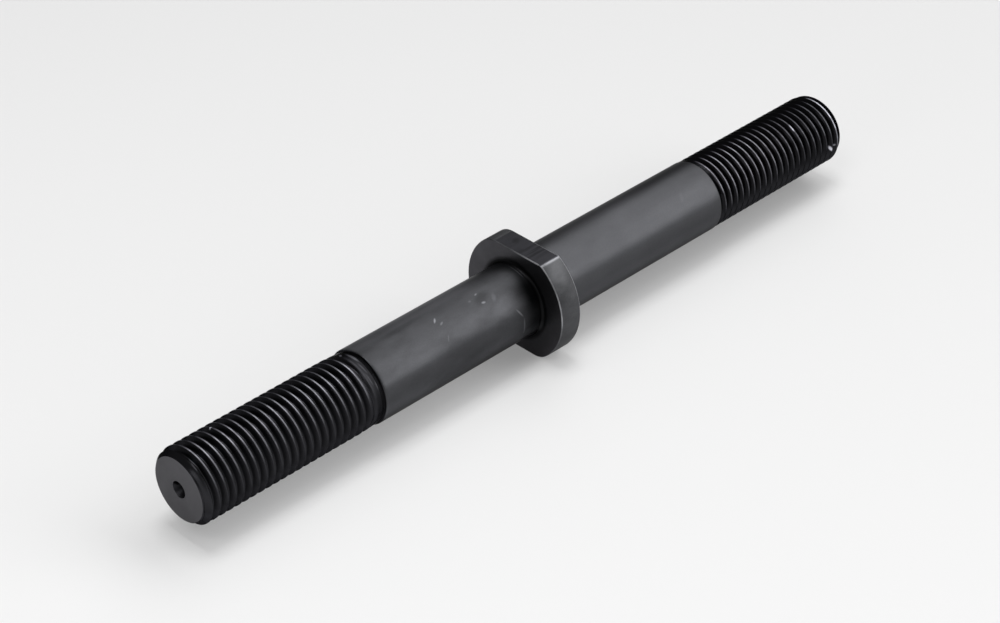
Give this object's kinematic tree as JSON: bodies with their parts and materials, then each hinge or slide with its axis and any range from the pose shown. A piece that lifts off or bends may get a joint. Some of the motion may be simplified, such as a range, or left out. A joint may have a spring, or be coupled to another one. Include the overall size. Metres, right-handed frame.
{
  "type": "shoulder stud",
  "caption": "Double-ended threaded stud: a long round bar with a collar between its plain shanks, the collar cut with opposite flats for a spanner, black steel.",
  "frame": {"origin": "on the stud's axis, midway between the two end faces", "axes": "+X along the axis, from the short side's end face towards the long side; +Z normal to the collar's flats, up; +Y across, parallel to the flats"},
  "size_m": [0.341, 0.05, 0.042],
  "materials": {
    "steel": "black oxide, satin on the shanks and collar, darker and oilier in the threads"
  },
  "bodies": {
    "root": {"stud": "steel"}
  },
  "joints": []
}
